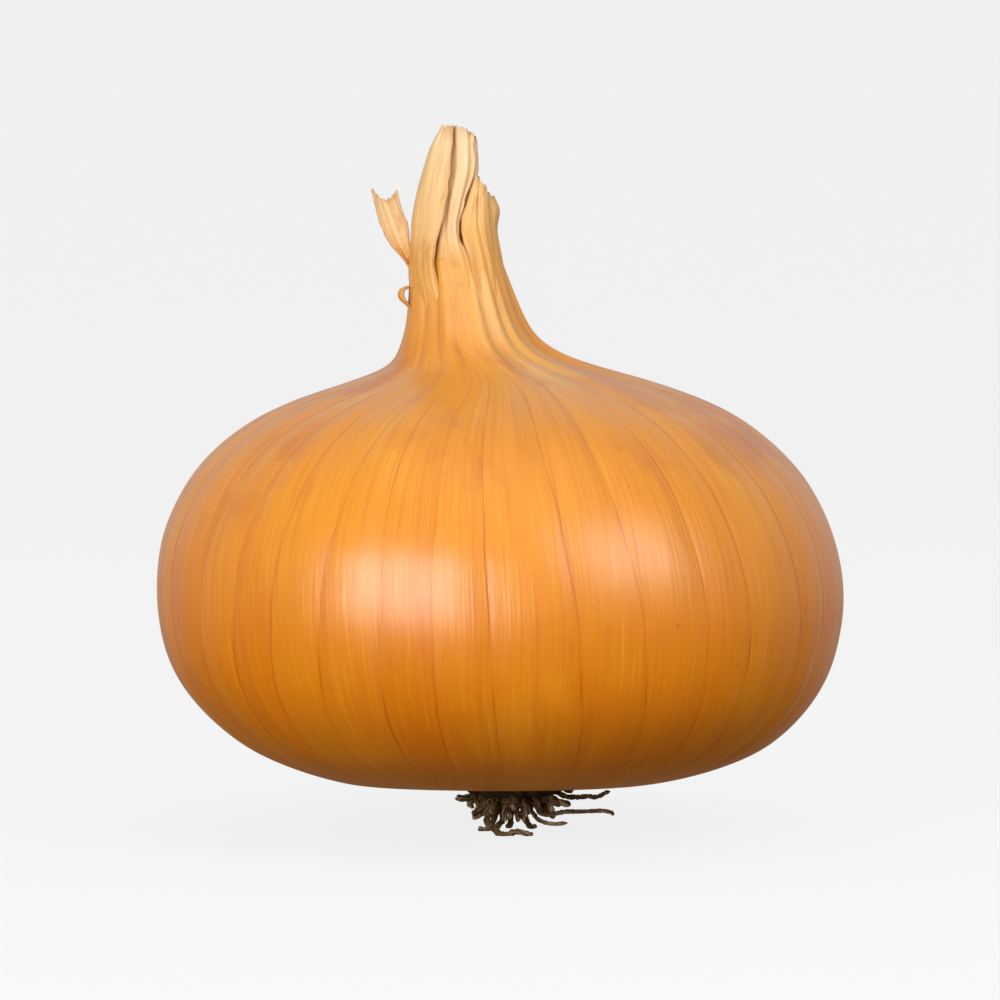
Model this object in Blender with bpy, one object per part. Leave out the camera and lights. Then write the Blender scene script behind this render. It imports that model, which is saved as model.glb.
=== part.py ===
"""A whole yellow onion with its dried neck, leaf remnants, root plate and root tuft.

Metres, +Z up. The origin is on the resting surface, under the middle of the bulb. +X is to the right and
-Y is the front. Every outline below is in millimetres.
"""

import math

import bpy
import numpy as np
from mathutils import Vector

MM = 0.001

# Bulb. Each station is the ring's radius, its height and how far its centre lies along X.
BULB_STATIONS = (
    (3.50, 6.30, 1.30),
    (7.00, 6.10, 1.10),
    (11.00, 5.55, 0.60),
    (15.50, 5.40, -0.30),
    (19.50, 6.00, 0.15),
    (24.00, 7.25, 0.50),
    (28.00, 8.90, 0.65),
    (31.10, 10.75, 0.60),
    (34.80, 14.20, 0.40),
    (37.50, 17.90, 0.20),
    (39.10, 22.00, 0.05),
    (39.90, 28.00, 0.00),
    (39.00, 34.60, -0.30),
    (36.30, 40.40, -0.50),
    (32.90, 44.50, -0.70),
    (28.40, 48.00, -0.70),
    (23.60, 50.30, -0.60),
    (17.80, 52.30, -0.40),
    (13.20, 53.70, -1.00),
    (10.15, 54.90, -2.20),
    (8.25, 56.30, -3.50),
    (7.05, 58.20, -4.00),
    (6.15, 61.50, -4.55),
    (5.55, 64.70, -5.05),
    (5.05, 66.90, -5.35),
)
BULB_RINGS = 44
BULB_SEGMENTS = 44
NECK_CROWN = 1.0
NECK_CROWN_ANGLES = (math.radians(30), math.radians(60))
WIDEST_HEIGHT = 28.0
UNDERSIDE_TIP = math.radians(4.0)
UNDERSIDE_FADE = 12.0
UNDERSIDE_REACH = 34.0

# Root plate.
PLATE_CENTRE = (1.5, 0.0)
PLATE_RADIUS = 5.4
PLATE_TOP = 5.40
PLATE_BOTTOM = 4.60
PLATE_SEGMENTS = 36
PLATE_LOBES = 7
PLATE_LOBE_DEPTH = 0.04
PLATE_RIM_SHARES = (0.88, 1.0, 0.92)

# Roots. They start just under the plate, and each tapers to its tip.
ROOT_TOP = 4.15
ROOT_SIDES = 8
ROOT_RINGS_PER_SPAN = 3
ROOT_TAPER = 0.25
ROOT_TIP_SHARE = 0.60
FOOT_AXIS = 0.20
ROOT_SWAY = 0.10

# Name, controls and thickness of the roots that have a shape of their own.
SHAPED_ROOTS = (
    ("root_left_tip", ((-3.5, 0.0, 4.1), (-4.2, -0.2, 3.85), (-4.8, -0.3, 3.9), (-5.2, -0.3, 4.05)), 0.90),
    ("root_left_stub", ((-1.7, -1.9, 4.0), (-2.1, -2.3, 3.3), (-2.8, -2.6, 2.6), (-3.2, -2.7, 2.1)), 1.15),
    ("root_loop", ((-0.5, -3.1, 4.1), (-1.6, -3.6, 2.1), (-1.1, -4.0, 0.9), (-0.1, -4.2, FOOT_AXIS),
                   (0.7, -4.3, FOOT_AXIS), (1.9, -4.4, 0.45), (3.0, -4.4, FOOT_AXIS),
                   (3.7, -4.4, FOOT_AXIS)), 0.85),
    ("root_upper_right", ((7.6, -0.6, 4.2), (8.7, -0.7, 4.15), (10.2, -0.8, 4.15), (11.5, -0.9, 4.35),
                          (12.7, -0.9, 4.8)), 0.65),
    ("root_nub_right", ((7.6, 1.2, 4.8), (8.0, 1.3, 4.7), (8.4, 1.4, 4.65)), 0.70),
    ("root_stub_right", ((5.6, -2.4, 4.0), (6.9, -2.7, 3.65), (8.1, -2.8, 3.5)), 0.95),
    ("root_hooked_right", ((4.0, -3.6, 4.1), (4.5, -4.0, 2.6), (6.4, -3.8, 2.55), (8.6, -3.4, 2.75),
                           (11.8, -3.0, 2.75), (12.7, -3.0, 2.65), (13.1, -3.0, 2.3)), 0.60),
    ("root_low_right", ((3.3, -1.9, 4.1), (3.7, -2.2, 2.3), (5.2, -2.5, 1.3), (7.7, -2.6, 1.3)), 0.60),
)

# Groups of plainer roots that splay from the plate's middle. Each has the directions they go in, in degrees
# from +X towards +Y, the reach and height of each control, and the thickness.
SPLAYED_ROOTS = (
    ("root_foot", (58, 95, 130, 168),
     ((1.9, ROOT_TOP), (2.1, 2.3), (2.6, 0.8), (3.4, FOOT_AXIS), (4.2, FOOT_AXIS)), 0.80),
    ("root_middle", (14, 42, 76, 112, 149, 186),
     ((3.2, ROOT_TOP), (3.6, 3.0), (4.2, 2.0), (4.9, 1.6)), 0.75),
    ("root_outer", (27, 60, 93, 128, 158, -76, -99, -119),
     ((4.7, 3.95), (5.2, 3.6), (5.6, 3.1), (5.7, 2.6)), 0.80),
    ("root_front", (-65, -87, -106),
     ((3.3, ROOT_TOP), (3.4, 3.2), (3.2, 2.2), (3.3, 1.5)), 0.70),
)

# Leaf remnants.
LEAF_THICKNESS = 0.55
LEAF_ROWS = 11
LEAF_COLUMNS = 6

# Name, crest, half widths, facing and curl of each dry leaf.
LEAVES = (
    ("leaf_tall", ((-8.3, -2.6, 68.5), (-8.5, -2.5, 72.2), (-7.9, -2.1, 76.7), (-6.9, -1.6, 80.3),
                   (-6.15, -1.3, 82.3)), (2.1, 2.15, 1.85, 1.3, 0.65), -115, 55),
    ("leaf_middle", ((-4.9, -3.2, 68.6), (-4.7, -2.9, 72.7), (-4.7, -2.5, 77.7), (-4.8, -2.1, 82.0)),
     (1.0, 0.95, 0.8, 0.6), -95, 35),
    ("leaf_narrow", ((-3.4, -1.7, 68.7), (-3.4, -1.5, 73.7), (-3.5, -1.3, 77.7), (-3.5, -1.2, 81.2)),
     (0.6, 0.65, 0.6, 0.45), -60, 35),
    ("leaf_stub_front", ((-2.4, -3.1, 68.6), (-2.1, -3.0, 71.2), (-2.2, -2.6, 73.7), (-2.4, -2.2, 76.0)),
     (1.1, 1.05, 0.85, 0.6), -70, 40),
    ("leaf_stub_edge", ((-0.6, -0.4, 68.6), (-0.4, -0.2, 70.7), (-0.5, 0.0, 72.9), (-1.0, 0.2, 74.5)),
     (1.6, 1.7, 1.3, 0.65), -15, 55),
    ("leaf_back", ((-5.6, 4.0, 68.6), (-5.5, 3.5, 71.7), (-5.2, 2.7, 75.2), (-5.0, 2.0, 77.7)),
     (3.1, 3.0, 2.4, 1.2), 95, 65),
    ("leaf_flap", ((-11.2, -0.9, 65.7), (-11.8, -1.1, 68.2), (-12.5, -1.3, 71.0), (-13.5, -1.4, 73.6)),
     (0.5, 1.1, 1.55, 1.5), -75, 35),
    ("leaf_shred", ((-11.35, -0.7, 62.2), (-11.65, -0.8, 62.7), (-11.6, -0.8, 63.3)),
     (0.45, 0.55, 0.45), -160, 20),
)


def clear_scene():
    for obj in list(bpy.data.objects):
        bpy.data.objects.remove(obj, do_unlink=True)


def make_material(name, colour, roughness):
    material = bpy.data.materials.new(name)
    material.use_nodes = True
    shader = material.node_tree.nodes["Principled BSDF"]
    shader.inputs["Base Color"].default_value = (*colour, 1.0)
    shader.inputs["Roughness"].default_value = roughness
    shader.inputs["Metallic"].default_value = 0.0
    material.diffuse_color = (*colour, 1.0)
    return material


def make_object(name, points, faces, origin, material, parent):
    """One smooth-shaded mesh object that sits at its own origin under the parent."""
    origin = Vector(origin) * MM
    mesh = bpy.data.meshes.new(name)
    mesh.from_pydata([Vector(point) * MM - origin for point in points], [], faces)
    mesh.shade_smooth()
    mesh.materials.append(material)
    obj = bpy.data.objects.new(name, mesh)
    obj.location = origin
    obj.parent = parent
    bpy.context.scene.collection.objects.link(obj)
    return obj


def smooth_path(controls, count):
    """Points along a Catmull-Rom curve through the controls, evenly spread between them."""
    controls = np.array(controls, float)
    ends = np.vstack([2 * controls[0] - controls[1], controls, 2 * controls[-1] - controls[-2]])
    path = []
    for step in np.linspace(0, len(controls) - 1, count):
        first = min(int(step), len(controls) - 2)
        t = step - first
        a, b, c, d = ends[first:first + 4]
        bend = (2 * a - 5 * b + 4 * c - d) * t**2 + (3 * b - a - 3 * c + d) * t**3
        path.append(0.5 * (2 * b + (c - a) * t + bend))
    return np.array(path)


def directions_of(path):
    along = np.gradient(path, axis=0)
    return along / np.linalg.norm(along, axis=1)[:, None]


def turns(count):
    return np.linspace(0, 2 * math.pi, count, endpoint=False)


def ring_faces(rings, sides):
    """Quads between rings of points laid out one after another, with a polygon over each end."""
    faces = []
    for low in range(0, (rings - 1) * sides, sides):
        for side in range(sides):
            beside = (side + 1) % sides
            faces.append((low + side, low + beside, low + sides + beside, low + sides + side))
    faces.append(tuple(reversed(range(sides))))
    faces.append(tuple(range((rings - 1) * sides, rings * sides)))
    return faces


def underside_share(radius, height):
    """How much of the underside's tip a ring takes: all of it in the middle, none at the widest ring."""
    below = min(1.0, max(0.0, WIDEST_HEIGHT - height) / UNDERSIDE_FADE)
    inside = max(0.0, 1.0 - (radius / UNDERSIDE_REACH) ** 4)
    return below**2 * inside


def make_bulb(material, parent):
    """The bulb and neck as one body of stacked rings, its underside tipped up a little at the front."""
    stations = smooth_path(BULB_STATIONS, BULB_RINGS)
    radius, height, centre = stations[-1]
    crown = [(radius * math.cos(angle), height + NECK_CROWN * math.sin(angle), centre)
             for angle in NECK_CROWN_ANGLES]
    points = []
    for radius, height, centre in np.vstack([stations, crown]):
        tip = math.tan(UNDERSIDE_TIP) * underside_share(radius, height)
        for turn in turns(BULB_SEGMENTS):
            depth = radius * math.sin(turn)
            points.append((centre + radius * math.cos(turn), depth, height - tip * depth))
    faces = ring_faces(BULB_RINGS + len(crown), BULB_SEGMENTS)
    return make_object("bulb", points, faces, (0, 0, WIDEST_HEIGHT), material, parent)


def make_root_plate(material, parent):
    """A low disc with a lobed edge, just clear of the bulb."""
    middle = (PLATE_TOP + PLATE_BOTTOM) / 2
    points = []
    for height, share in zip((PLATE_BOTTOM, middle, PLATE_TOP), PLATE_RIM_SHARES):
        for turn in turns(PLATE_SEGMENTS):
            radius = share * PLATE_RADIUS * (1 + PLATE_LOBE_DEPTH * math.cos(PLATE_LOBES * turn))
            x = PLATE_CENTRE[0] + radius * math.cos(turn)
            y = PLATE_CENTRE[1] + radius * math.sin(turn)
            points.append((x, y, height))
    return make_object("root_plate", points, ring_faces(3, PLATE_SEGMENTS), (*PLATE_CENTRE, middle),
                       material, parent)


def make_root(name, controls, thickness, material, parent):
    """A tapered bent root. What would reach below the resting surface is pressed flat on it."""
    rings = ROOT_RINGS_PER_SPAN * (len(controls) - 1) + 1
    path = smooth_path(controls, rings)
    side = np.array((0.3, 0.9, 0.1))
    points = []
    for share, centre, along in zip(np.linspace(0, 1, rings), path, directions_of(path)):
        side = side - along * side.dot(along)
        side /= np.linalg.norm(side)
        other = np.cross(along, side)
        radius = thickness / 2 * (1 - ROOT_TAPER * share) * (ROOT_TIP_SHARE if share == 1 else 1)
        for turn in turns(ROOT_SIDES):
            x, y, z = centre + radius * (math.cos(turn) * side + math.sin(turn) * other)
            points.append((x, y, max(z, 0.0)))
    return make_object(name, points, ring_faces(rings, ROOT_SIDES), path[0], material, parent)


def make_leaf(name, spine, half_widths, facing, curl, material, parent):
    """A strip of even thickness, bent across its width like a gutter, whose crest follows the spine.

    facing is the direction, in degrees from +X towards +Y, that its outer side looks in at its middle.
    curl is how far, in degrees, the surface has turned from that direction at either edge.
    """
    path = smooth_path(spine, LEAF_ROWS)
    widths = smooth_path([(width,) for width in half_widths], LEAF_ROWS)[:, 0]
    facing = math.radians(facing)
    bend = math.radians(curl)
    angles = np.linspace(-bend, bend, LEAF_COLUMNS)
    points = []
    for centre, along, width in zip(path, directions_of(path), widths):
        out = np.array((math.cos(facing), math.sin(facing), 0.0))
        out -= along * out.dot(along)
        out /= np.linalg.norm(out)
        across = np.cross(along, out)
        radius = width / math.sin(bend)
        edge = [(angle, radius) for angle in angles]
        edge += [(angle, radius - LEAF_THICKNESS) for angle in reversed(angles)]
        for angle, reach in edge:
            inward = math.cos(angle) * reach - radius
            points.append(centre + across * math.sin(angle) * reach + out * inward)
    return make_object(name, points, ring_faces(LEAF_ROWS, 2 * LEAF_COLUMNS), path[0], material, parent)


def splayed(direction, profile, sway):
    """Controls of a root that leaves the plate's middle in one direction and drifts sideways."""
    angle = math.radians(direction)
    controls = []
    for index, (reach, height) in enumerate(profile):
        drift = sway * index
        x = PLATE_CENTRE[0] + reach * math.cos(angle) - drift * math.sin(angle)
        y = PLATE_CENTRE[1] + reach * math.sin(angle) + drift * math.cos(angle)
        controls.append((x, y, height))
    return controls


def main():
    clear_scene()
    onion = bpy.data.objects.new("onion", None)
    bpy.context.scene.collection.objects.link(onion)
    skin = make_material("onion_skin", (0.66, 0.24, 0.025), 0.38)
    corky = make_material("root_plate", (0.035, 0.018, 0.005), 0.90)
    fibrous = make_material("dry_root", (0.11, 0.065, 0.022), 0.80)
    straw = make_material("dry_leaf", (0.76, 0.47, 0.17), 0.60)
    make_bulb(skin, onion)
    make_root_plate(corky, onion)
    for name, controls, thickness in SHAPED_ROOTS:
        make_root(name, controls, thickness, fibrous, onion)
    for group, directions, profile, thickness in SPLAYED_ROOTS:
        for number, direction in enumerate(directions, 1):
            sway = ROOT_SWAY * (-1) ** number
            make_root(f"{group}_{number}", splayed(direction, profile, sway), thickness, fibrous, onion)
    for name, crest, half_widths, facing, curl in LEAVES:
        make_leaf(name, crest, half_widths, facing, curl, straw, onion)


main()
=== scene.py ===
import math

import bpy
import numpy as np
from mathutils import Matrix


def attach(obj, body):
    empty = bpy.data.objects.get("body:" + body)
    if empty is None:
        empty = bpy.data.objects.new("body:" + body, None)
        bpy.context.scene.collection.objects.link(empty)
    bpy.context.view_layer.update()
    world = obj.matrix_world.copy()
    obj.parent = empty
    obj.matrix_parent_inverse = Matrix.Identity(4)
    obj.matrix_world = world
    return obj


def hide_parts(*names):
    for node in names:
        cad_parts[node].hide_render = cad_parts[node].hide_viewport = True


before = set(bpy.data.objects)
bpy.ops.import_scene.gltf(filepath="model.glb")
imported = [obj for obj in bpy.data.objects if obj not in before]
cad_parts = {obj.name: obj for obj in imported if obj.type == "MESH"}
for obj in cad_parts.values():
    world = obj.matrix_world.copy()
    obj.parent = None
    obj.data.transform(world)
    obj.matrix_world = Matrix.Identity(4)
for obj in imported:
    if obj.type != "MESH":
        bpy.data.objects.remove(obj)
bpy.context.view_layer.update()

# Finished look of a whole yellow onion: satin papery skin, a dried neck with torn leaf remnants, a
# corky root plate and a tuft of dry roots. Lengths are in millimetres, but in metres for the camera,
# the lights and the studio. Angles round the bulb are in degrees from the front (-Y), positive
# towards the right (+X).

MM = 0.001

# Bulb profile, as in the CAD part: radius, height and how far the centre lies along X.
BULB_STATIONS = (
    (3.50, 6.30, 1.30),
    (7.00, 6.10, 1.10),
    (11.00, 5.55, 0.60),
    (15.50, 5.40, -0.30),
    (19.50, 6.00, 0.15),
    (24.00, 7.25, 0.50),
    (28.00, 8.90, 0.65),
    (31.10, 10.75, 0.60),
    (34.80, 14.20, 0.40),
    (37.50, 17.90, 0.20),
    (39.10, 22.00, 0.05),
    (39.90, 28.00, 0.00),
    (39.00, 34.60, -0.30),
    (36.30, 40.40, -0.50),
    (32.90, 44.50, -0.70),
    (28.40, 48.00, -0.70),
    (23.60, 50.30, -0.60),
    (17.80, 52.30, -0.40),
    (13.20, 53.70, -1.00),
    (10.15, 54.90, -2.20),
    (8.25, 56.30, -3.50),
    (7.05, 58.20, -4.00),
    (6.15, 61.50, -4.55),
    (5.55, 64.70, -5.05),
    (5.05, 66.90, -5.35),
)
BULB_RINGS = 264
PROFILE_SOFTENING = 4
WIDEST_RADIUS = 40.0
WIDEST_HEIGHT = 28.0
UNDERSIDE_TIP = math.radians(4.0)
UNDERSIDE_FADE = 12.0
UNDERSIDE_REACH = 38.0
NECK_FLATTENING = 0.16

# Veins. The front ones have a direction at VEIN_HEIGHT and a twist in degrees over VEIN_SPAN of
# height. The others are spread evenly round the back with a little jitter.
VEIN_HEIGHT = 30.0
VEIN_SPAN = 25.0
FRONT_VEINS = (
    (-58.0, 4.0),
    (-48.5, 4.4),
    (-40.0, 4.4),
    (-30.0, 4.6),
    (-20.0, 1.3),
    (-11.0, 0.8),
    (-2.0, -1.0),
    (12.0, -3.3),
    (23.0, -4.0),
    (35.0, -2.3),
    (44.0, -1.5),
    (58.0, -1.0),
)
BACK_VEINS = 22
BACK_VEIN_JITTER = 1.7
PANEL_COLUMNS = (0.0, 0.03, 0.09, 0.2, 0.35, 0.5, 0.65, 0.8, 0.91, 0.97)
PANEL_CREST = (0.05, 0.13)
PANEL_START = (5, 14)
PANEL_END = (50, 54)
PANEL_LEAST = 0.25
VEIN_GROOVE = 0.015
GROOVE_SHARE = 0.02

# Waves on the skin: size, how many, fewest and most round the bulb, the height over which their phase
# drifts, how far it drifts, and the heights between which they set in. The last two are the neck's.
NECK_START = (50.5, 57)
SKIN_WAVES = (
    (0.16, 6, 2, 6, 9, 1.0, (8, 24)),
    (0.05, 6, 9, 23, 5, 1.0, (6, 14)),
    (0.20, 5, 4, 9, 6, 0.8, NECK_START),
    (0.09, 6, 12, 26, 6, 1.0, NECK_START),
)
PLATE_CALM = (6, 9)

# A ridge that leans up the neck's front, and a paler band on its right.
RIDGE_SIZE = 0.30
RIDGE_DIRECTION = -8
RIDGE_LEAN = 0.6
RIDGE_WIDTH = 7.0
RIDGE_TOP = (66, 68)
BAND_DIRECTION = 28
BAND_LEAN = -0.9
BAND_HEIGHT = 60
BAND_WIDTH = 24
BAND_START = (51.5, 55)

# Root plate: share of its radius and height at each level.
PLATE_CENTRE = (1.5, 0.0)
PLATE_RADIUS = 5.5
PLATE_LEVELS = (
    (0.2, 4.45),
    (0.55, 4.40),
    (0.85, 4.50),
    (0.98, 4.85),
    (1.0, 5.40),
    (0.94, 6.25),
    (0.6, 6.60),
)
PLATE_SEGMENTS = 96
PLATE_RINGS = 26
PLATE_LUMP = 0.10

# Roots, as in the CAD part: name, controls and thickness.
FOOT_AXIS = 0.20
SHAPED_ROOTS = (
    ("root_left_tip",
     ((-3.5, 0.0, 4.1), (-4.2, -0.2, 3.85), (-4.8, -0.3, 3.9), (-5.2, -0.3, 4.05)), 0.90),
    ("root_left_stub",
     ((-1.7, -1.9, 4.0), (-2.1, -2.3, 3.3), (-2.8, -2.6, 2.6), (-3.2, -2.7, 2.1)), 1.15),
    ("root_loop", ((-0.5, -3.1, 4.1), (-1.6, -3.6, 2.1), (-1.1, -4.0, 0.9), (-0.1, -4.2, FOOT_AXIS),
                   (0.7, -4.3, FOOT_AXIS), (1.9, -4.4, 0.45), (3.0, -4.4, FOOT_AXIS),
                   (3.7, -4.4, FOOT_AXIS)), 0.85),
    ("root_upper_right", ((7.6, -0.6, 4.2), (8.7, -0.7, 4.15), (10.2, -0.8, 4.15), (11.5, -0.9, 4.35),
                          (12.7, -0.9, 4.8)), 0.65),
    ("root_nub_right", ((7.6, 1.2, 4.8), (8.0, 1.3, 4.7), (8.4, 1.4, 4.65)), 0.70),
    ("root_stub_right", ((5.6, -2.4, 4.0), (6.9, -2.7, 3.65), (8.1, -2.8, 3.5)), 0.95),
    ("root_hooked_right", ((4.0, -3.6, 4.1), (4.5, -4.0, 2.6), (6.4, -3.8, 2.55), (8.6, -3.4, 2.75),
                           (11.8, -3.0, 2.75), (12.7, -3.0, 2.65), (13.1, -3.0, 2.3)), 0.60),
    ("root_low_right",
     ((3.3, -1.9, 4.1), (3.7, -2.2, 2.3), (5.2, -2.5, 1.3), (7.7, -2.6, 1.3)), 0.60),
)

# Groups of plainer roots: name, directions in degrees from +X towards +Y, reach and height of each
# control, thickness.
SPLAYED_ROOTS = (
    ("root_foot", (58, 95, 130, 168),
     ((1.9, 4.15), (2.1, 2.3), (2.6, 0.8), (3.4, FOOT_AXIS), (4.2, FOOT_AXIS)), 0.80),
    ("root_middle", (14, 42, 76, 112, 149, 186),
     ((3.2, 4.15), (3.6, 3.0), (4.2, 2.0), (4.9, 1.6)), 0.75),
    ("root_outer", (27, 60, 93, 128, 158, -76, -99, -119),
     ((4.7, 3.95), (5.2, 3.6), (5.6, 3.1), (5.7, 2.6)), 0.80),
    ("root_front", (-65, -87, -106),
     ((3.3, 4.15), (3.4, 3.2), (3.2, 2.2), (3.3, 1.5)), 0.70),
)
ROOT_SWAY = 0.10
ROOT_SIDES = 12
ROOT_RINGS_PER_SPAN = 9
ROOT_TAPER = 0.25
ROOT_BURY = (0.55, 5.3)
ROOT_WOBBLE = 0.07
ROOT_LUMP = 0.13
ROOT_TIP = (0.8, 0.35)
ROOT_FLUTES = ((3, 0.10), (5, 0.05))
ROOT_SPIN = 0.5
ROOT_GRAIN = 1.5
ROOT_GRAIN_STEP = 9.1
BAKE_TILES = 8

# Fine strands in the tangle, which stand for no CAD node.
STRAND_COUNT = 64
STRAND_REACH = (1.2, 4.9)
STRAND_DEPTH = (1.1, 3.1)
STRAND_DRIFT = (-0.25, 0.45)
STRAND_LIMIT = 5.6
STRAND_SWAY = 0.45
STRAND_THICKNESS = (0.35, 0.70)
STRAND_TAPER = 0.30
STRAND_WOBBLE = 0.16

# Dry leaves. Each row is a height and four points across the sheet, and the last entry says how far
# each of the four points of the top edge stands above its row.
LEAVES = {
    "leaf_tall": (
        ((61.0, ((-10.0, 2.0), (-10.1, -1.5), (-8.2, -4.5), (-6.3, -5.5))),
         (65.0, ((-10.4, 1.7), (-10.55, -1.3), (-8.9, -3.9), (-7.5, -4.7))),
         (68.2, ((-10.2, 1.4), (-10.4, -1.4), (-9.0, -3.7), (-7.6, -4.4))),
         (71.5, ((-9.9, 1.0), (-10.2, -1.4), (-8.6, -3.6), (-6.7, -4.2))),
         (74.7, ((-9.3, 0.6), (-9.6, -1.3), (-8.0, -3.3), (-6.1, -3.7))),
         (77.3, ((-8.6, 0.3), (-8.9, -1.1), (-7.6, -2.9), (-5.9, -3.2))),
         (80.0, ((-7.7, 0.0), (-8.0, -1.0), (-7.0, -2.3), (-5.6, -2.5))),
         (81.8, ((-6.9, -0.6), (-6.9, -1.1), (-6.3, -1.7), (-5.6, -1.9)))),
        (-1.2, -0.3, 0.4, 0.3)),
    "leaf_middle": (
        ((61.0, ((-6.5, -5.4), (-5.0, -5.7), (-3.5, -5.6), (-2.3, -5.3))),
         (66.0, ((-7.4, -3.9), (-5.9, -4.4), (-4.5, -4.45), (-3.4, -4.2))),
         (70.0, ((-7.2, -3.2), (-6.2, -3.6), (-5.4, -3.7), (-4.9, -3.3))),
         (73.5, ((-6.6, -2.8), (-5.8, -3.3), (-4.9, -3.4), (-4.2, -2.9))),
         (77.0, ((-6.2, -1.9), (-5.1, -2.7), (-4.1, -3.1), (-3.1, -2.4))),
         (80.0, ((-6.1, -1.2), (-5.0, -2.0), (-4.0, -2.5), (-3.1, -2.0))),
         (81.5, ((-5.9, -1.0), (-5.0, -1.7), (-4.1, -2.2), (-3.3, -1.8)))),
        (0.4, 0.6, 0.3, -0.4)),
    "leaf_narrow": (
        ((65.0, ((-4.5, -3.0), (-3.8, -3.1), (-3.2, -2.9), (-2.8, -2.5))),
         (71.0, ((-4.4, -2.4), (-3.8, -2.6), (-3.2, -2.5), (-2.7, -2.0))),
         (77.0, ((-4.2, -2.0), (-3.6, -2.2), (-3.0, -2.1), (-2.8, -1.6))),
         (81.0, ((-4.0, -1.4), (-3.6, -1.7), (-3.2, -1.6), (-3.0, -1.3)))),
        (0.4, 0.2, 0.1, -0.6)),
    "leaf_stub_front": (
        ((61.0, ((-2.7, -5.4), (-1.6, -4.9), (-0.6, -4.2), (0.3, -3.2))),
         (66.0, ((-3.5, -4.35), (-2.4, -3.9), (-1.4, -3.3), (-0.6, -2.4))),
         (70.5, ((-4.6, -3.6), (-3.4, -3.8), (-2.3, -3.6), (-1.3, -2.8))),
         (73.5, ((-3.9, -3.1), (-3.2, -3.5), (-2.4, -3.4), (-1.5, -2.6))),
         (75.6, ((-3.1, -2.5), (-2.8, -2.8), (-2.3, -2.8), (-1.8, -2.3)))),
        (0.1, 0.7, 0.2, -0.9)),
    "leaf_stub_edge": (
        ((61.0, ((-0.2, -3.8), (0.9, -1.9), (1.2, 0.0), (0.7, 2.3))),
         (66.5, ((-1.3, -2.95), (-0.2, -1.5), (0.05, 0.15), (-0.4, 1.85))),
         (70.0, ((-1.7, -2.7), (-0.8, -1.6), (-0.65, -0.1), (-1.0, 1.5))),
         (72.4, ((-1.8, -2.3), (-0.7, -1.6), (-0.4, -0.2), (-0.8, 1.2))),
         (74.0, ((-2.0, -1.8), (-1.3, -1.3), (-1.0, -0.3), (-1.5, 0.7)))),
        (0.7, 0.2, -0.2, -0.5)),
    "leaf_back": (
        ((61.0, ((0.5, 2.9), (-2.5, 5.4), (-6.5, 5.4), (-9.7, 2.4))),
         (66.0, ((-0.6, 2.2), (-3.4, 4.3), (-7.0, 4.3), (-10.0, 1.9))),
         (70.0, ((-1.3, 1.9), (-3.7, 3.9), (-6.9, 3.9), (-9.4, 1.7))),
         (74.0, ((-2.3, 1.8), (-4.0, 3.3), (-6.3, 3.3), (-8.2, 1.5))),
         (76.8, ((-3.5, 1.6), (-4.4, 2.4), (-5.7, 2.4), (-6.8, 1.4)))),
        (-0.5, 0.8, 0.1, -0.9)),
    "leaf_flap": (
        ((63.5, ((-10.3, -0.9), (-10.2, -1.2), (-10.1, -1.5), (-9.9, -1.8))),
         (66.0, ((-10.8, -1.2), (-10.6, -0.8), (-10.4, -0.9), (-10.2, -1.5))),
         (68.7, ((-13.0, -1.3), (-12.1, -0.5), (-11.2, -0.4), (-10.6, -1.3))),
         (70.6, ((-13.9, -1.5), (-12.9, -0.5), (-11.7, -0.3), (-10.8, -1.4))),
         (72.6, ((-14.5, -1.7), (-13.6, -0.7), (-12.4, -0.4), (-11.5, -1.6))),
         (73.9, ((-15.0, -1.7), (-14.0, -0.9), (-12.9, -0.7), (-12.1, -1.7)))),
        (1.1, -0.1, -0.1, 0.9)),
    "leaf_shred": (
        ((61.3, ((-10.5, -1.1), (-10.7, -0.7), (-10.8, -0.4), (-10.7, 0.1))),
         (62.3, ((-11.2, -1.4), (-11.7, -0.9), (-11.8, -0.4), (-11.4, 0.2))),
         (63.2, ((-11.2, -1.4), (-11.6, -1.0), (-11.7, -0.5), (-11.2, 0.0))),
         (63.5, ((-10.6, -1.1), (-10.8, -0.9), (-10.8, -0.5), (-10.6, -0.1)))),
        (0.0, 0.1, 0.1, 0.0)),
}
LEAF_ROWS = 84
LEAF_COLUMNS = 34
LEAF_THICKNESS = 0.20
LEAF_WRINKLE = 0.13
LEAF_TEAR = 0.22
LEAF_FRAY = 0.09
LEAF_GRAIN_STEP = 7.3
LEAF_FOOT = 64.0
# How much paler each leaf is above its foot: partly the dry husk's own pale colour and partly painted
# light that lifts leaves lying in shade.
LEAF_PALENESS_AND_PAINTED_LIGHT = {"leaf_flap": 1.0, "leaf_middle": 0.75, "leaf_narrow": 0.5, "leaf_tall": 0.3}
LEAF_SMOOTHNESS = {"leaf_flap": 0.45, "leaf_shred": 0.5}

# Colours of the skin and of the leaves at heights up to the part's top. The skin's darkening towards
# the root is partly its browner colour there and partly painted shade.
LEVEL_TOP = 82.4
SKIN_LEVELS_WITH_PAINTED_SHADE = (
    (4.0, (0.360, 0.110, 0.003)),
    (6.4, (0.560, 0.165, 0.002)),
    (9.5, (0.640, 0.185, 0.001)),
    (16.0, (0.690, 0.188, 0.001)),
    (26.0, (0.715, 0.206, 0.001)),
    (38.0, (0.750, 0.250, 0.004)),
    (48.0, (0.735, 0.252, 0.006)),
    (56.0, (0.750, 0.300, 0.022)),
    (66.0, (0.770, 0.370, 0.065)),
)
STRAW_LEVELS = (
    (60.0, (0.73, 0.32, 0.05)),
    (66.0, (0.76, 0.37, 0.075)),
    (70.0, (0.78, 0.43, 0.12)),
    (75.0, (0.80, 0.50, 0.19)),
    (82.0, (0.84, 0.60, 0.31)),
)

# Camera: straight in front of the bulb's middle, a little above it.
CAMERA_ELEVATION = math.radians(4.0)
CAMERA_DISTANCE = 0.8
CAMERA_TARGET = (-0.00014, 0.0, 0.03866)
VIEW_WIDTH = 0.11662
SENSOR_MM = 36.0
CAMERA_FAR = 50.0

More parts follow.
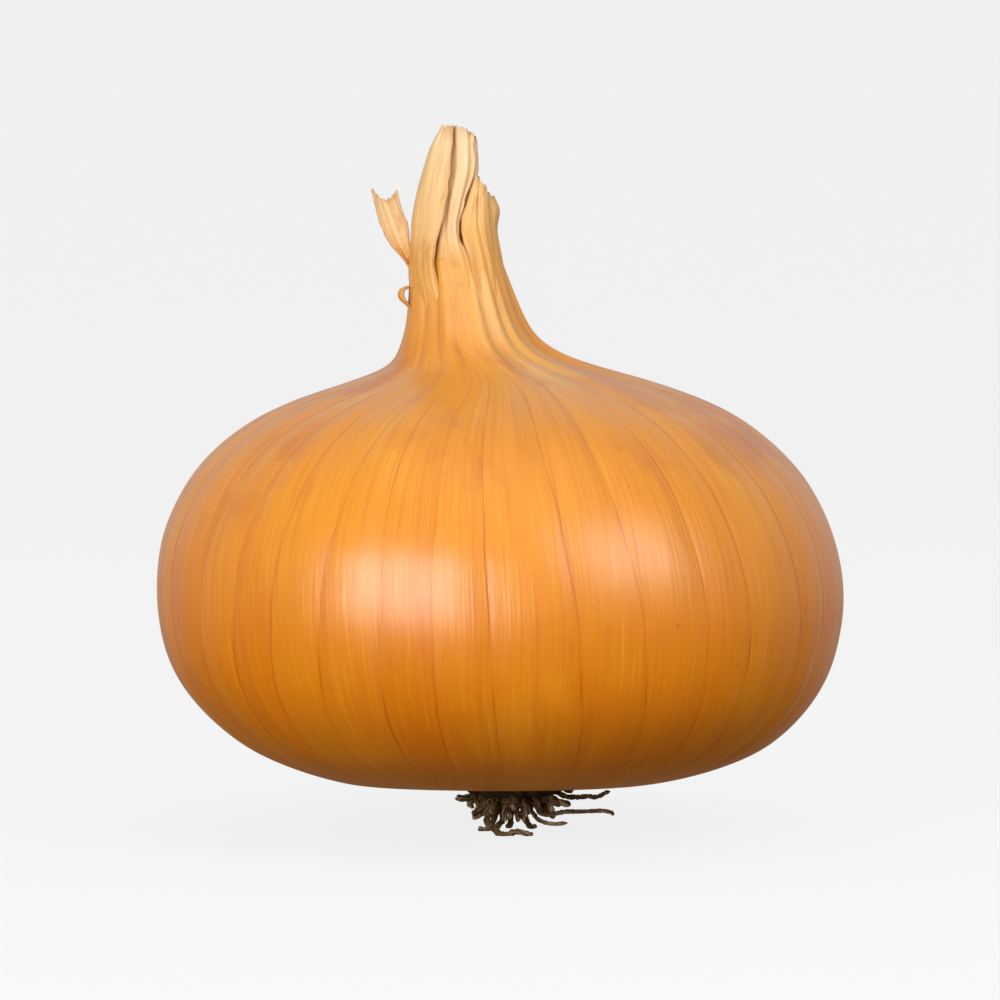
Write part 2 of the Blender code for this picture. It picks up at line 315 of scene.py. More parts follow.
# Soft lights: direction from the front, elevation, distance, width, height and power.
LIGHTS = (
    ("softbox_left", -29, 9, 0.60, 0.44, 0.34, 3.3),
    ("softbox_right", 47, 29, 0.60, 0.27, 0.32, 1.45),
    ("softbox_top", 0, 70, 0.70, 0.60, 0.60, 0.7),
)
AIM_HEIGHT = 0.030
BACKDROP = 0.872
WORLD_BELOW = (0.150, 0.075, 0.018)
WORLD_SIDE = (0.26, 0.26, 0.26)
WORLD_ABOVE = (0.33, 0.33, 0.33)
WORLD_BACK_GAIN = 1.9
WORLD_BACK_RANGE = (-0.2, 0.9)
STUDIO_RADIUS = 9.0
STUDIO_SIDES = 96
DOME_RADIUS = STUDIO_RADIUS * 1.02
DOME_LIFTS = (-4, 86, 16)
FLOOR_GLOW = 0.828
FLOOR_COLOUR = 0.11


# ---------------------------------------------------------------- shapes


def smooth_path(controls, count):
    """Points along a Catmull-Rom curve through the controls, evenly spread between them."""
    controls = np.array(controls, float)
    first_end = 2 * controls[:1] - controls[1:2]
    last_end = 2 * controls[-1:] - controls[-2:-1]
    ends = np.concatenate([first_end, controls, last_end])
    path = []
    for step in np.linspace(0, len(controls) - 1, count):
        first = min(int(step), len(controls) - 2)
        t = step - first
        a, b, c, d = ends[first:first + 4]
        bend = (2 * a - 5 * b + 4 * c - d) * t**2 + (3 * b - a - 3 * c + d) * t**3
        path.append(0.5 * (2 * b + (c - a) * t + bend))
    return np.array(path)


def evenly(path, count):
    """The same path with its points an equal length apart."""
    steps = np.linalg.norm(np.diff(path[:, :2], axis=0), axis=1)
    along = np.concatenate([[0.0], np.cumsum(steps)])
    wanted = np.linspace(0, along[-1], count)
    return np.stack([np.interp(wanted, along, column) for column in path.T], axis=1), wanted


def softened(path, rings):
    """The path with its changes of bend spread over some rings, and its ends kept."""
    reach = 3 * rings
    weights = np.exp(-0.5 * (np.arange(-reach, reach + 1) / rings) ** 2)
    weights /= weights.sum()
    before = 2 * path[0] - path[reach:0:-1]
    after = 2 * path[-1] - path[-2:-reach - 2:-1]
    padded = np.concatenate([before, path, after])
    return np.stack([np.convolve(column, weights, "valid") for column in padded.T], axis=1)


def soft_step(low, high, value):
    share = np.clip((value - low) / (high - low), 0.0, 1.0)
    return share * share * (3 - 2 * share)


def ripples(rng, count, low, high, turn, along, drift):
    """A sum of waves round the turn whose phase drifts along the length, within about -1 to 1."""
    total = 0.0
    for wave in rng.integers(low, high + 1, count):
        phase = rng.uniform(0, 2 * math.pi)
        total = total + np.sin(wave * turn + phase + rng.uniform(-drift, drift) * along)
    return total / math.sqrt(count)


def unit(vectors):
    return vectors / np.maximum(np.linalg.norm(vectors, axis=-1, keepdims=True), 1e-9)


def grid_normals(points):
    return unit(np.cross(np.gradient(points, axis=1), np.gradient(points, axis=0)))


def quads(rows, columns, start=0, wrap=True):
    """Faces of a grid of points that begins at point start, row by row."""
    faces = []
    for low in range(start, start + (rows - 1) * columns, columns):
        high = low + columns
        for column in range(columns if wrap else columns - 1):
            beside = (column + 1) % columns
            faces.append((low + column, low + beside, high + beside, high + column))
    return faces


def quad_corners(across, up):
    """The (u, v) of the same faces' corners, from the u of each column and the v of each row."""
    corners = []
    for low, high in zip(up, up[1:]):
        for left, right in zip(across, across[1:]):
            corners += ((left, low), (right, low), (right, high), (left, high))
    return corners


def ring_caps(columns, first, last):
    """Two faces that close a tube whose end rings begin at the points first and last."""
    return [tuple(reversed(range(first, first + columns))), tuple(range(last, last + columns))]


def make_mesh(name, points, faces, material, replaced, corners, values):
    """A smooth mesh that rides the part's one body.

    corners holds one (u, v) per face corner for the baking map, and values holds named numbers or
    vectors, one per point or, when there are more of them, one per face corner.
    """
    mesh = bpy.data.meshes.new(name)
    mesh.from_pydata((np.asarray(points) * MM).tolist(), [], faces)
    mesh.shade_smooth()
    layer = mesh.uv_layers.new(name="OFBake")
    layer.data.foreach_set("uv", np.asarray(corners, np.float32).ravel())
    for key, numbers in values.items():
        numbers = np.asarray(numbers, np.float32)
        single = numbers.ndim == 1
        kind, field = ("FLOAT", "value") if single else ("FLOAT_VECTOR", "vector")
        domain = "POINT" if len(numbers) == len(points) else "CORNER"
        mesh.attributes.new(key, kind, domain).data.foreach_set(field, numbers.ravel())
    mesh.materials.append(material)
    obj = bpy.data.objects.new(name, mesh)
    bpy.context.scene.collection.objects.link(obj)
    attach(obj, "root")
    if replaced:
        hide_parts(*replaced)
    return obj


def vein_table(rng):
    """Directions and twists of all the veins in degrees, once round from the left of the front."""
    start, end = FRONT_VEINS[-1][0], FRONT_VEINS[0][0] + 360
    spread = np.linspace(start, end, BACK_VEINS + 2)[1:-1]
    spread = spread + rng.uniform(-BACK_VEIN_JITTER, BACK_VEIN_JITTER, BACK_VEINS)
    twist = 3.0 * np.sin(np.radians(spread * 2))
    directions = np.concatenate([[vein[0] for vein in FRONT_VEINS], spread])
    twists = np.concatenate([[vein[1] for vein in FRONT_VEINS], twist])
    return directions, twists


def skin_lift(rng, count, turn, height):
    """How far the skin stands off its profile: panels between the veins, waves and the ridge."""
    fraction = np.tile(PANEL_COLUMNS, count)
    crests = np.repeat(rng.uniform(*PANEL_CREST, count), len(PANEL_COLUMNS))
    to_vein = np.minimum(fraction, 1 - fraction)
    panel = crests * (1 - (2 * fraction - 1) ** 2) - VEIN_GROOVE * (to_vein < GROOVE_SHARE)
    body = soft_step(*PANEL_START, height) * (1 - soft_step(*PANEL_END, height)) + PANEL_LEAST
    lift = panel * body
    for size, number, low, high, rise, drift, heights in SKIN_WAVES:
        waves = ripples(rng, number, low, high, turn, height / rise, drift)
        lift = lift + size * waves * soft_step(*heights, height)
    off_ridge = np.degrees(turn) - RIDGE_DIRECTION + (RIDGE_TOP[0] - height) * RIDGE_LEAN
    ridge = RIDGE_SIZE * np.exp(-(off_ridge / RIDGE_WIDTH) ** 2) * soft_step(*NECK_START, height)
    lift = lift + ridge * (1 - soft_step(*RIDGE_TOP, height))
    return lift * (0.3 + 0.7 * soft_step(*PLATE_CALM, height))


def make_bulb(material):
    """Skin and neck as one closed surface whose columns follow the veins."""
    rng = np.random.default_rng(11)
    profile, along = evenly(smooth_path(BULB_STATIONS, 1500), BULB_RINGS)
    profile = softened(profile, PROFILE_SOFTENING)
    radius, height, centre = (profile[:, column, None] for column in range(3))
    directions, twists = vein_table(rng)
    count = len(directions)
    indexes = (np.arange(count)[:, None] + np.array(PANEL_COLUMNS)).ravel()
    knots = np.arange(count + 1)
    base = np.interp(indexes, knots, np.append(directions, directions[0] + 360))
    twist = np.interp(indexes, knots, np.append(twists, twists[0]))
    turn = np.radians(base + twist * np.clip((height - VEIN_HEIGHT) / VEIN_SPAN, -1, 1))
    lift = skin_lift(rng, count, turn, height)

    slope_r, slope_z = np.gradient(radius[:, 0]), np.gradient(height[:, 0])
    length = np.hypot(slope_r, slope_z)
    outward, upward = (slope_z / length)[:, None], (-slope_r / length)[:, None]
    reach = radius + lift * outward
    flat = 1 - NECK_FLATTENING * soft_step(59, 67, height)
    depth = -reach * np.cos(turn) * flat
    below = np.clip((WIDEST_HEIGHT - height) / UNDERSIDE_FADE, 0, 1) ** 2
    share = below * np.maximum(0, 1 - (radius / UNDERSIDE_REACH) ** 4) ** 2
    rise = height + lift * upward - math.tan(UNDERSIDE_TIP) * share * depth
    points = np.stack([centre + reach * np.sin(turn), depth, rise], axis=-1)

    # The grid is closed at both ends by a fan of triangles round one more point.
    rings, columns = turn.shape
    ends = np.array([points[0].mean(axis=0), points[-1].mean(axis=0) + (0, 0, 0.9)])
    points = np.vstack([points.reshape(-1, 3), ends])
    across = np.append(indexes, count)
    faces = quads(rings, columns)
    corners = quad_corners(across / count, along / along[-1])
    vein = [place for left, right in zip(across, across[1:]) for place in (left, right, right, left)]
    vein *= rings - 1
    top, end = (rings - 1) * columns, rings * columns
    for column in range(columns):
        beside = (column + 1) % columns
        left, right = across[column], across[column + 1]
        faces += ((beside, column, end), (top + column, top + beside, end + 1))
        vein += (right, left, left, left, right, left)
        left, right = left / count, right / count
        corners += ((right, 0), (left, 0), (left, 0), (left, 1), (right, 1), (left, 1))

    lengths = np.broadcast_to(along[:, None], turn.shape)
    grain = [WIDEST_RADIUS * np.cos(turn), WIDEST_RADIUS * np.sin(turn), lengths]
    grain = np.stack(grain, axis=-1).reshape(-1, 3)
    grain = np.vstack([grain, [(0, 0, along[0]), (0, 0, along[-1])]])
    level = np.broadcast_to(height, turn.shape).ravel()
    level = np.concatenate([level, [height[0, 0], height[-1, 0]]])
    band_middle = BAND_DIRECTION + (height - BAND_HEIGHT) * BAND_LEAN
    band = np.exp(-((np.degrees(turn) - band_middle) / BAND_WIDTH) ** 2)
    band = np.append((band * soft_step(*BAND_START, height)).ravel(), (0, 0))
    values = {"vein": vein, "grain": grain, "level": level, "pale_band": band}
    return make_mesh("bulb_skin", points, faces, material, ("bulb",), corners, values)


def make_leaf(name, rows, crown, seed, material):
    """A thin wrinkled sheet through rows of four points, with a torn top edge."""
    rng = np.random.default_rng(seed)
    controls = np.array([[(x, y, height) for x, y in row] for height, row in rows])
    controls[-1, :, 2] += crown
    path = smooth_path(controls, LEAF_ROWS)
    sheet = np.swapaxes(smooth_path(np.swapaxes(path, 0, 1), LEAF_COLUMNS), 0, 1)
    across, up = np.linspace(0, 1, LEAF_COLUMNS), np.linspace(0, 1, LEAF_ROWS)
    v, u = np.meshgrid(up, across, indexing="ij")
    free = soft_step(LEAF_FOOT - 1.5, LEAF_FOOT + 5, sheet[..., 2])
    small = min(1.0, np.ptp(controls[..., 2]) / 12) * LEAF_SMOOTHNESS.get(name, 1.0)
    bulge = ripples(rng, 4, 1, 3, math.pi * u, v, 3.0)
    bulge = bulge + 0.5 * ripples(rng, 5, 4, 9, math.pi * u, v, 2.0)
    normals = grid_normals(sheet)
    sheet = sheet + normals * (LEAF_WRINKLE * small * (0.3 + free) * bulge)[..., None]
    tear = ripples(rng, 5, 3, 17, math.pi * across, 0.0, 0.0)
    sheet[..., 2] += LEAF_TEAR * small * tear * soft_step(0.8, 1.0, v)
    sideways = unit(np.gradient(sheet, axis=1))
    fray = ripples(rng, 5, 5, 21, math.pi * v, 0.0, 0.0)
    edge = np.abs(2 * u - 1) ** 8 * np.sign(2 * u - 1)
    sheet = sheet + sideways * (LEAF_FRAY * small * fray * edge * free)[..., None]

    points = sheet.reshape(-1, 3)
    faces = quads(LEAF_ROWS, LEAF_COLUMNS, wrap=False)
    width = np.linalg.norm(np.diff(sheet, axis=1), axis=2).sum(axis=1).max()
    grain = np.stack([u * width, np.full_like(u, LEAF_GRAIN_STEP * seed), sheet[..., 2]], axis=-1)
    rim = soft_step(0.86, 1.0, np.maximum(np.abs(2 * u - 1), v)).ravel()
    # Paler upper leaf: partly its own colour, partly painted light.
    pale = LEAF_PALENESS_AND_PAINTED_LIGHT.get(name, 0.0) * soft_step(66, 71, points[:, 2])
    values = {"grain": grain.reshape(-1, 3), "level": points[:, 2], "rim": rim, "paleness_and_painted_light": pale}
    leaf = make_mesh(f"{name}_dry", points, faces, material, (name,),
                     quad_corners(across, up), values)
    solid = leaf.modifiers.new("thickness", "SOLIDIFY")
    solid.thickness = LEAF_THICKNESS * MM
    solid.offset = 0.0
    return leaf


def splayed(direction, profile, sway):
    """Controls of a root that leaves the plate's middle in one direction and drifts sideways."""
    angle = math.radians(direction)
    controls = []
    for index, (reach, height) in enumerate(profile):
        drift = sway * index
        x = PLATE_CENTRE[0] + reach * math.cos(angle) - drift * math.sin(angle)
        y = PLATE_CENTRE[1] + reach * math.sin(angle) + drift * math.cos(angle)
        controls.append((x, y, height))
    return controls


def buried(controls):
    """The same root started inside the plate, so that it grows out of it."""
    x, y, _ = controls[0]
    share, top = ROOT_BURY
    inner = (PLATE_CENTRE[0] + (x - PLATE_CENTRE[0]) * share, y * share, top)
    return [inner, *controls]


class Tubes:
    """Gathers wrinkled tapered tubes into one mesh."""

    def __init__(self, seed):
        self.rng = np.random.default_rng(seed)
        self.points, self.faces, self.corners, self.grain, self.tip = [], [], [], [], []
        self.made = 0

    def add(self, controls, thickness, taper, wobble=ROOT_WOBBLE):
        rng = self.rng
        rings = ROOT_RINGS_PER_SPAN * (len(controls) - 1) + 1
        path = smooth_path(controls, rings)
        share = np.linspace(0, 1, rings)
        middle = np.sin(math.pi * share) ** 0.5
        for axis in range(3):
            path[:, axis] += wobble * middle * ripples(rng, 4, 2, 9, math.pi * share, 0.0, 0.0)
        along = unit(np.gradient(path, axis=0))
        steps = np.linalg.norm(np.diff(path, axis=0), axis=1)
        length = np.concatenate([[0.0], np.cumsum(steps)])
        radius = thickness / 2 * (1 - taper * share)
        radius = radius * (1 + ROOT_LUMP * ripples(rng, 5, 4, 16, length, 0.0, 0.0))
        radius[-2:] *= ROOT_TIP
        turns = np.linspace(0, 2 * math.pi, ROOT_SIDES, endpoint=False)
        (flutes, deep), (creases, shallow) = ROOT_FLUTES
        outline = 1 + deep * np.cos(flutes * turns + rng.uniform(0, 6))
        outline = outline + shallow * np.cos(creases * turns)

        start = len(self.tip)
        side = np.array((0.3, 0.9, 0.1))
        for ring in range(rings):
            side = side - along[ring] * side.dot(along[ring])
            side /= np.linalg.norm(side)
            other = np.cross(along[ring], side)
            spin = turns + ROOT_SPIN * length[ring]
            offset = np.cos(spin)[:, None] * side + np.sin(spin)[:, None] * other
            block = path[ring] + (radius[ring] * outline)[:, None] * offset
            block[:, 2] = np.maximum(block[:, 2], 0.0)
            self.points.append(block)
            self.grain += [(length[ring], math.cos(turn) * ROOT_GRAIN + ROOT_GRAIN_STEP * self.made,
                            math.sin(turn) * ROOT_GRAIN) for turn in turns]
            self.tip += [float(share[ring])] * ROOT_SIDES

        row, column = divmod(self.made, BAKE_TILES)
        across = (column + np.arange(ROOT_SIDES + 1) / ROOT_SIDES) / BAKE_TILES
        up = (row + np.arange(rings) / rings) / BAKE_TILES
        self.faces += quads(rings, ROOT_SIDES, start)
        self.corners += quad_corners(across, up)
        self.faces += ring_caps(ROOT_SIDES, start, start + (rings - 1) * ROOT_SIDES)
        self.corners += ((across[0], up[0]),) * (2 * ROOT_SIDES)
        self.made += 1

    def finish(self, name, material, replaced):
        values = {"grain": self.grain, "tip": self.tip}
        return make_mesh(name, np.vstack(self.points), self.faces, material, replaced,
                         self.corners, values)


def make_roots(material):
    long_roots = Tubes(21)
    for _, controls, thickness in SHAPED_ROOTS:
        long_roots.add(buried(controls), thickness, ROOT_TAPER)
    long_roots.finish("roots_long_dry", material, [name for name, _, _ in SHAPED_ROOTS])

    under = Tubes(22)
    replaced = []
    for group, directions, profile, thickness in SPLAYED_ROOTS:
        for number, direction in enumerate(directions, 1):
            controls = splayed(direction, profile, ROOT_SWAY * (-1) ** number)
            under.add(buried(controls), thickness, ROOT_TAPER)
            replaced.append(f"{group}_{number}")
    under.finish("roots_under_dry", material, replaced)

    strands = Tubes(23)
    for _ in range(STRAND_COUNT):
        angle = strands.rng.uniform(0, 360)
        reach = strands.rng.uniform(*STRAND_REACH)
        depth = strands.rng.uniform(*STRAND_DEPTH) * (1 - 0.08 * reach)
        heights = (5.2, 4.2, 4.2 - 0.45 * depth, 4.2 - depth)
        reaches = reach + np.cumsum(strands.rng.uniform(*STRAND_DRIFT, len(heights)))
        profile = list(zip(np.minimum(reaches, STRAND_LIMIT), heights))
        controls = splayed(angle, profile, strands.rng.uniform(-STRAND_SWAY, STRAND_SWAY))
        strands.add(controls, strands.rng.uniform(*STRAND_THICKNESS), STRAND_TAPER, STRAND_WOBBLE)
    strands.finish("roots_fine_dry", material, [])


def make_root_plate(material):
    """A lumpy corky disc whose edge is tucked up against the skin."""
    rng = np.random.default_rng(31)
    turn = np.linspace(0, 2 * math.pi, PLATE_SEGMENTS, endpoint=False)
    lumps = 0.05 * ripples(rng, 6, 3, 11, turn, 0.0, 0.0)
    lumps = lumps + 0.02 * ripples(rng, 6, 15, 31, turn, 0.0, 0.0)
    points = []
    for share, height in smooth_path(PLATE_LEVELS, PLATE_RINGS):
        reach = PLATE_RADIUS * share * (1 + lumps)
        lifted = height + PLATE_LUMP * ripples(rng, 5, 4, 19, turn, 0.0, 0.0)
        x, y = PLATE_CENTRE[0] + reach * np.cos(turn), PLATE_CENTRE[1] + reach * np.sin(turn)
        points.append(np.stack([x, y, lifted], axis=1))
    points = np.vstack(points)
    faces = quads(PLATE_RINGS, PLATE_SEGMENTS)
    faces += ring_caps(PLATE_SEGMENTS, 0, (PLATE_RINGS - 1) * PLATE_SEGMENTS)
    across, up = np.arange(PLATE_SEGMENTS + 1) / PLATE_SEGMENTS, np.arange(PLATE_RINGS) / PLATE_RINGS
    corners = quad_corners(across, up) + [(0.0, 0.0)] * (2 * PLATE_SEGMENTS)
    return make_mesh("root_plate_cork", points, faces, material, ("root_plate",),
                     corners, {"grain": points})


# ---------------------------------------------------------------- materials


class Nodes:
    """Short calls that add and link the nodes of a tree."""

    def __init__(self, tree):
        self.tree = tree

    def node(self, kind, inputs, **settings):
        node = self.tree.nodes.new(f"ShaderNode{kind}")
        for key, value in settings.items():
            setattr(node, key, value)
        for key, value in inputs.items():
            if isinstance(value, bpy.types.NodeSocket):
                self.tree.links.new(value, node.inputs[key])
            else:
                node.inputs[key].default_value = value
        return node

    def ramp(self, value, stops):
        node = self.node("ValToRGB", {0: value})
        elements = node.color_ramp.elements
        while len(elements) < len(stops):
            elements.new(0.5)
        for element, (position, colour) in zip(elements, stops):
            element.position = position
            element.color = (*colour, 1.0)
        return node.outputs[0]


class Shader(Nodes):
    """A material and short calls for its surface."""

    def __init__(self, name):
        self.material = bpy.data.materials.new(name)
        self.material.use_nodes = True
        super().__init__(self.material.node_tree)
        self.surface = self.tree.nodes["Principled BSDF"]

    def number(self, name):
        return self.node("Attribute", {}, attribute_name=name).outputs["Fac"]

    def vector(self, name, scale):
        vector = self.node("Attribute", {}, attribute_name=name).outputs["Vector"]
        return self.node("VectorMath", {0: vector, 1: scale}, operation="MULTIPLY").outputs[0]

    def math(self, operation, *values):
        return self.node("Math", dict(enumerate(values)), operation=operation).outputs[0]

    def noise(self, vector, detail=3.0, roughness=0.55):
        inputs = {"Vector": vector, "Scale": 1.0, "Detail": detail, "Roughness": roughness}
        return self.node("TexNoise", inputs).outputs["Fac"]

    def spread(self, value, low, high, to_low=0.0, to_high=1.0):
        inputs = {"Value": value, "From Min": low, "From Max": high}
        inputs |= {"To Min": to_low, "To Max": to_high}
        return self.node("MapRange", inputs, interpolation_type="SMOOTHSTEP").outputs[0]

    def levels(self, height, stops):
        """A colour for each height, between stops given at heights."""
        share = self.math("DIVIDE", height, LEVEL_TOP)
        return self.ramp(share, [(stop / LEVEL_TOP, colour) for stop, colour in stops])

    def mix(self, share, first, second, blend="MIX"):
        node = self.node("Mix", {0: share}, data_type="RGBA", blend_type=blend)
        for index, colour in ((6, first), (7, second)):
            if isinstance(colour, bpy.types.NodeSocket):
                self.tree.links.new(colour, node.inputs[index])
            else:
                node.inputs[index].default_value = (*colour, 1.0)
        return node.outputs[2]

    def bump(self, height, distance_mm, strength, below=None):
        inputs = {"Height": height, "Distance": distance_mm * MM, "Strength": strength}
        if below is not None:
            inputs["Normal"] = below
        return self.node("Bump", inputs).outputs[0]

    def finish(self, colour, roughness, normal, **settings):
        for key, value in (("Base Color", colour), ("Roughness", roughness), ("Normal", normal)):
            self.tree.links.new(value, self.surface.inputs[key])
        for key, value in settings.items():
            self.surface.inputs[key.replace("_", " ")].default_value = value
        return self.material


def make_skin():
    """Satin papery skin: lengthwise fibres, orange-red veins, soft blotches, and an underside
    darkened partly by its browner colour and partly by painted shade.
    """
    s = Shader("onion_skin_satin")
    level = s.number("level")
    # The colour by height darkens towards the root: partly a browner skin there, partly painted
    # shade.
    colour = s.levels(level, SKIN_LEVELS_WITH_PAINTED_SHADE)

    wobble = s.math("SUBTRACT", s.noise(s.vector("grain", (0.05, 0.05, 0.12))), 0.5)
    place = s.math("ADD", s.number("vein"), s.math("MULTIPLY", wobble, 0.10))
    panel = s.node("TexWhiteNoise", {"W": s.math("FLOOR", place)}, noise_dimensions="1D")
    past_vein = s.math("FRACT", s.math("ADD", place, 0.5))
    to_vein = s.math("ABSOLUTE", s.math("SUBTRACT", past_vein, 0.5))

    tan_band = s.math("MULTIPLY", s.number("pale_band"), 0.75)
    colour = s.mix(tan_band, colour, (0.84, 0.50, 0.17))
    bright = s.spread(panel.outputs["Value"], 0.0, 1.0, 0.0, 0.20)
    colour = s.mix(bright, colour, (0.82, 0.33, 0.012))

    patches = s.noise(s.vector("grain", (0.045, 0.045, 0.055)), 4.0, 0.6)
    upper = s.math("MULTIPLY", s.spread(level, 30, 42), s.spread(level, 60, 54))
    amount = s.math("ADD", s.math("MULTIPLY", upper, 0.60), 0.18)
    blotch = s.math("MULTIPLY", s.spread(patches, 0.47, 0.64), amount)
    colour = s.mix(blotch, colour, (0.56, 0.140, 0.003))
    glow = s.noise(s.vector("grain", (0.08, 0.08, 0.05)), 3.0, 0.5)
    colour = s.mix(s.spread(glow, 0.48, 0.74, 0.0, 0.34), colour, (0.84, 0.37, 0.020))

    broad = s.noise(s.vector("grain", (0.55, 0.55, 0.030)), 3.0, 0.6)
    fine = s.noise(s.vector("grain", (2.6, 2.6, 0.070)), 3.0, 0.65)
    colour = s.mix(s.spread(broad, 0.48, 0.72, 0.0, 0.42), colour, (0.58, 0.155, 0.002))
    colour = s.mix(s.spread(fine, 0.50, 0.70, 0.0, 0.30), colour, (0.55, 0.150, 0.007))
    colour = s.mix(s.spread(fine, 0.46, 0.30, 0.0, 0.26), colour, (0.88, 0.42, 0.030))

    along = s.noise(s.vector("grain", (0.5, 0.5, 0.10)), 2.0, 0.5)
    strength = s.spread(along, 0.35, 0.65, 0.12, 0.70)
    strength = s.math("MULTIPLY", strength, s.spread(level, 60, 50, 0.25, 1.0))
    line = s.math("MULTIPLY", s.spread(to_vein, 0.024, 0.004), strength)
    halo = s.math("MULTIPLY", s.spread(to_vein, 0.11, 0.0), 0.14)
    colour = s.mix(halo, colour, (0.60, 0.150, 0.005))
    colour = s.mix(line, colour, (0.46, 0.082, 0.003))

    specks = s.noise(s.vector("grain", (1.3, 1.3, 0.8)), 2.0, 0.5)
    colour = s.mix(s.spread(specks, 0.72, 0.80, 0.0, 0.5), colour, (0.24, 0.070, 0.008))

    rough = s.noise(s.vector("grain", (0.9, 0.9, 0.10)), 3.0, 0.6)
    underside = s.spread(level, 12, 4, 0.0, 0.15)
    roughness = s.math("ADD", s.spread(rough, 0.3, 0.7, 0.34, 0.46), underside)
    fibres = s.math("ADD", s.math("MULTIPLY", fine, 0.6), s.math("MULTIPLY", broad, 0.8))
    normal = s.bump(fibres, 0.120, 0.60)
    normal = s.bump(s.spread(to_vein, 0.05, 0.0), 0.030, 0.6, normal)
    s.tree.links.new(normal, s.surface.inputs["Coat Normal"])
    return s.finish(colour, roughness, normal, Specular_IOR_Level=0.45, Coat_Weight=0.60,
                    Coat_Roughness=0.30)


def make_straw():
    """Dry leaf: straw with lengthwise fibres, more orange low down, brown along the torn edges."""
    s = Shader("dry_leaf_straw")
    level = s.number("level")
    colour = s.levels(level, STRAW_LEVELS)
    streak = s.noise(s.vector("grain", (1.3, 1.0, 0.10)), 4.0, 0.65)
    colour = s.mix(s.spread(streak, 0.50, 0.68, 0.0, 0.55), colour, (0.62, 0.245, 0.045))
    fine = s.noise(s.vector("grain", (4.5, 1.0, 0.16)), 3.0, 0.6)
    colour = s.mix(s.spread(fine, 0.50, 0.68, 0.0, 0.40), colour, (0.56, 0.26, 0.075))
    colour = s.mix(s.spread(fine, 0.46, 0.32, 0.0, 0.45), colour, (0.90, 0.72, 0.45))
    # Paler leaves: partly the husk's own colour, partly painted light.
    paleness_and_painted_light = s.math("MULTIPLY", s.number("paleness_and_painted_light"), 0.6)
    colour = s.mix(paleness_and_painted_light, colour, (0.84, 0.66, 0.42))
    stain = s.noise(s.vector("grain", (0.35, 1.0, 0.22)), 3.0, 0.6)
    colour = s.mix(s.spread(stain, 0.54, 0.72, 0.0, 0.50), colour, (0.50, 0.19, 0.045))
    rim = s.math("MULTIPLY", s.number("rim"), 0.40)
    colour = s.mix(rim, colour, (0.50, 0.24, 0.07))
    roughness = s.spread(streak, 0.3, 0.7, 0.46, 0.64)
    normal = s.bump(s.math("ADD", fine, streak), 0.060, 0.6)
    return s.finish(colour, roughness, normal, Specular_IOR_Level=0.45)


def make_root_fibre():
    """Dry root: dark olive brown, wrinkled across and along, paler at some tips."""
    s = Shader("dry_root_fibre")
    patches = s.noise(s.vector("grain", (0.55, 0.8, 0.8)), 4.0, 0.6)
    colour = s.ramp(patches, ((0.30, (0.018, 0.009, 0.002)), (0.46, (0.085, 0.046, 0.010)),
                              (0.58, (0.170, 0.108, 0.036)), (0.72, (0.380, 0.290, 0.160))))
    pale = s.math("MULTIPLY", s.spread(s.number("tip"), 0.55, 0.95), s.spread(patches, 0.42, 0.58))
    colour = s.mix(s.math("MULTIPLY", pale, 0.8), colour, (0.46, 0.35, 0.21))
    wrinkles = s.noise(s.vector("grain", (4.5, 1.6, 1.6)), 4.0, 0.65)
    colour = s.mix(s.spread(wrinkles, 0.52, 0.66, 0.0, 0.6), colour, (0.030, 0.016, 0.004))
    roughness = s.spread(wrinkles, 0.3, 0.7, 0.70, 0.90)
    normal = s.bump(wrinkles, 0.10, 0.8)
    return s.finish(colour, roughness, normal, Specular_IOR_Level=0.35)


def make_cork():
    """Root plate: nearly black corky tissue."""
    s = Shader("root_plate_cork")
    lumps = s.noise(s.vector("grain", (1.1, 1.1, 1.1)), 5.0, 0.65)
    colour = s.ramp(lumps, ((0.35, (0.012, 0.006, 0.002)), (0.55, (0.050, 0.026, 0.008)),
                            (0.72, (0.150, 0.090, 0.038))))
    roughness = s.spread(lumps, 0.3, 0.7, 0.82, 0.96)
    normal = s.bump(lumps, 0.25, 0.9)
    return s.finish(colour, roughness, normal, Specular_IOR_Level=0.25)


# ---------------------------------------------------------------- studio


def glowing(name, colour, glow):
    """A matt material that also gives off its own even light."""
    s = Shader(name)
    inputs = (("Base Color", (colour, colour, colour, 1.0)), ("Roughness", 1.0),
              ("Specular IOR Level", 0.0), ("Emission Color", (1.0, 1.0, 1.0, 1.0)),
              ("Emission Strength", glow))
    for key, value in inputs:
        s.surface.inputs[key].default_value = value
    return s


def clear_from_below(s):
    """Makes a face of this material show from its front only."""
    output = s.tree.nodes["Material Output"]
    behind = s.node("NewGeometry", {}).outputs["Backfacing"]
    clear = s.node("BsdfTransparent", {}).outputs[0]
    mixed = s.node("MixShader", {0: behind, 1: s.surface.outputs[0], 2: clear}).outputs[0]
    s.tree.links.new(mixed, output.inputs["Surface"])
    return s


def make_stage(name, mesh, shader):
    """Something of the studio that shows but lights nothing, so the bulb's underside stays dark."""
    mesh.materials.append(shader.material)
    obj = bpy.data.objects.new(name, mesh)
    obj.visible_diffuse = False
    obj.visible_glossy = False
    bpy.context.scene.collection.objects.link(obj)
    return obj


